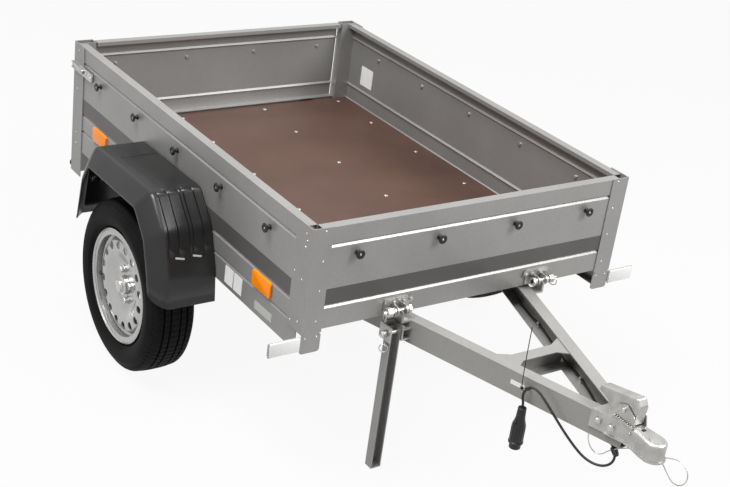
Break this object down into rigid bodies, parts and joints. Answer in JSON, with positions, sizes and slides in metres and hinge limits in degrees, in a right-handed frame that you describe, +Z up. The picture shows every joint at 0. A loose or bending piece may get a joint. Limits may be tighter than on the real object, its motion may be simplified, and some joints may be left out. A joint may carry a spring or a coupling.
{
  "type": "utility trailer",
  "caption": "Single-axle utility trailer with an open galvanised load box, plywood floor, drop tailgate, tipping drawbar with ball coupling, and a folding prop leg.",
  "frame": {"origin": "on the ground under the centre of the trailer's outline, cords left out", "axes": "+X to the trailer's left, -Y towards the towing vehicle, +Z up"},
  "size_m": [1.528, 2.4805, 0.8],
  "materials": {
    "galvanised": "hot-dip galvanised sheet, satin grey",
    "zinc": "bright zinc plated steel",
    "plywood": "brown film-faced plywood, satin",
    "black_plastic": "moulded black polypropylene, matt",
    "black_rubber": "moulded rubber, matt",
    "amber_lens": "moulded amber lens",
    "red_lens": "moulded red lens",
    "white_reflector": "clear reflector with a silvered back",
    "tyre": "moulded tyre rubber",
    "wheel_paint": "silver wheel enamel",
    "cable_sheath": "soft black cable sheath",
    "steel_wire": "thin zinc plated wire rope"
  },
  "bodies": {
    "box": {"side_panel_left": "galvanised", "side_panel_right": "galvanised", "front_panel": "galvanised", "corner_posts": "galvanised", "floor_panel": "plywood", "floor_rails": "galvanised", "rear_beam": "galvanised", "rear_lamps": "red_lens", "plate_board": "black_plastic", "rear_buffers": "black_rubber", "hinge_leaves": "zinc", "cover_knobs": "black_plastic", "side_reflectors": "amber_lens", "front_brackets": "galvanised", "front_reflectors": "white_reflector", "mudguard_left": "black_plastic", "mudguard_right": "black_plastic", "axle_tube": "galvanised", "axle_mounts": "galvanised", "swing_arms": "galvanised", "pivot_bolts": "zinc", "pivot_ears": "galvanised", "lock_brackets": "zinc", "lock_pins": "zinc", "gate_latches": "zinc"},
    "tailgate": {"tailgate_panel": "galvanised", "gate_hinges": "zinc", "gate_knobs": "black_plastic"},
    "wheel_left": {"tyre_left": "tyre", "rim_left": "wheel_paint", "hub_left": "zinc"},
    "wheel_right": {"tyre_right": "tyre", "rim_right": "wheel_paint", "hub_right": "zinc"},
    "drawbar": {"drawbar_arm_left": "galvanised", "drawbar_arm_right": "galvanised", "cross_member": "galvanised", "coupling_head": "zinc", "coupling_lever": "zinc", "coupling_bolts": "zinc", "lock_catches": "galvanised", "leg_bracket": "galvanised", "leg_bolt": "zinc", "main_cable": "cable_sheath", "safety_wire": "steel_wire", "plug": "black_plastic"},
    "prop_leg": {"prop_leg": "galvanised"}
  },
  "joints": [
    {"name": "wheel_left_spin", "type": "hinge", "parent": "box", "child": "wheel_left", "pos_m": [0.67, 0.4, 0.2735], "axis": [1, 0, 0], "continuous": true},
    {"name": "wheel_right_spin", "type": "hinge", "parent": "box", "child": "wheel_right", "pos_m": [-0.67, 0.4, 0.2735], "axis": [1, 0, 0], "continuous": true},
    {"name": "tailgate_hinge", "type": "hinge", "parent": "box", "child": "tailgate", "pos_m": [0, 1.177, 0.498], "axis": [-1, 0, 0], "range_deg": [0, 90]},
    {"name": "tipping_pivot", "type": "hinge", "parent": "box", "child": "drawbar", "pos_m": [0, 0.225, 0.448], "axis": [1, 0, 0], "range_deg": [0, 25]},
    {"name": "prop_leg_hinge", "type": "hinge", "parent": "drawbar", "child": "prop_leg", "pos_m": [-0.277, -0.407, 0.45], "axis": [-1, 0, 0], "range_deg": [0, 90]}
  ]
}
